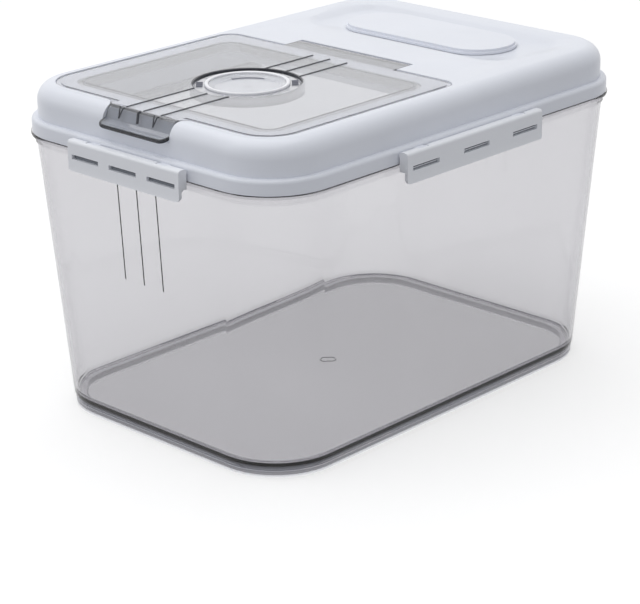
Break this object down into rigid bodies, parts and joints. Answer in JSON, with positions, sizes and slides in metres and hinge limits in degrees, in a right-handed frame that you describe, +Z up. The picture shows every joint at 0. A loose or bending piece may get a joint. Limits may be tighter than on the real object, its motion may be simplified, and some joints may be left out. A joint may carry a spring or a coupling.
{
  "type": "rice bin with flip lid",
  "caption": "Clear smoke tub with a white clip-on lid, a clear flip flap with a turning date dial, and a lift-out desiccant cassette in the lid.",
  "frame": {"origin": "centre of the foot ring's underside, on the table", "axes": "+Z up, +Y along the length toward the desiccant cassette, the flap's pull tab is at -Y, +X to the right seen from the tab's end"},
  "size_m": [0.2536, 0.3546, 0.2158],
  "materials": {
    "clear_smoke_tub": "clear smoke-tinted moulding, glossy",
    "clear_smoke_flap": "clear smoke-tinted moulding, glossy, darker than the tub",
    "lid_white": "cool white, satin gloss",
    "clip_grey": "light grey, satin",
    "dial_ring_clear": "clear smoke ring, glossy",
    "dial_grey": "light grey, satin gloss",
    "white_inner": "natural white moulding",
    "silicone": "translucent light grey silicone, matt",
    "steel": "drawn steel rod"
  },
  "bodies": {
    "tub": {"tub": "clear_smoke_tub"},
    "lid": {"lid": "lid_white", "lid_seal": "silicone", "flap_hinge_pin": "steel", "front_clip_pin": "steel", "rear_clip_pin": "steel", "left_clip_pin": "steel", "right_clip_pin": "steel"},
    "flap": {"flap": "clear_smoke_flap", "flap_seal": "silicone"},
    "dial_ring": {"dial_ring": "dial_ring_clear"},
    "dial_disc": {"dial_disc": "dial_grey", "dial_retainer": "white_inner"},
    "front_clip": {"front_clip": "clip_grey"},
    "rear_clip": {"rear_clip": "clip_grey"},
    "left_clip": {"left_clip": "clip_grey"},
    "right_clip": {"right_clip": "clip_grey"},
    "cassette_tray": {"cassette_tray": "white_inner"},
    "cassette_cap": {"cassette_cap": "lid_white", "cassette_gasket": "silicone"}
  },
  "joints": [
    {"name": "lid_lift", "type": "slide", "parent": "tub", "child": "lid", "axis": [0, 0, 1], "range_m": [0, 0.028]},
    {"name": "front_clip_turn", "type": "hinge", "parent": "lid", "child": "front_clip", "pos_m": [0, -0.1722, 0.1903], "axis": [-1, 0, 0], "range_deg": [0, 100]},
    {"name": "rear_clip_turn", "type": "hinge", "parent": "lid", "child": "rear_clip", "pos_m": [0, 0.1722, 0.1903], "axis": [1, 0, 0], "range_deg": [0, 100]},
    {"name": "left_clip_turn", "type": "hinge", "parent": "lid", "child": "left_clip", "pos_m": [-0.1217, 0, 0.1903], "axis": [0, 1, 0], "range_deg": [0, 100]},
    {"name": "right_clip_turn", "type": "hinge", "parent": "lid", "child": "right_clip", "pos_m": [0.1217, 0, 0.1903], "axis": [0, -1, 0], "range_deg": [0, 100]},
    {"name": "flap_turn", "type": "hinge", "parent": "lid", "child": "flap", "pos_m": [0, 0.026, 0.2126], "axis": [-1, 0, 0], "range_deg": [0, 100]},
    {"name": "dial_ring_turn", "type": "hinge", "parent": "flap", "child": "dial_ring", "pos_m": [0, -0.071, 0.2148], "axis": [0, 0, 1], "continuous": true},
    {"name": "dial_disc_turn", "type": "hinge", "parent": "flap", "child": "dial_disc", "pos_m": [0, -0.071, 0.2148], "axis": [0, 0, 1], "continuous": true},
    {"name": "cassette_lift", "type": "slide", "parent": "lid", "child": "cassette_tray", "axis": [0, 0, 1], "range_m": [0, 0.035]},
    {"name": "cassette_cap_lift", "type": "slide", "parent": "cassette_tray", "child": "cassette_cap", "axis": [0, 0, 1], "range_m": [0, 0.02]}
  ],
  "couplings": [
    {"joint": "front_clip_turn", "follows": "lid_lift", "rad_per_m": 62.3},
    {"joint": "rear_clip_turn", "follows": "lid_lift", "rad_per_m": 62.3},
    {"joint": "left_clip_turn", "follows": "lid_lift", "rad_per_m": 62.3},
    {"joint": "right_clip_turn", "follows": "lid_lift", "rad_per_m": 62.3}
  ]
}
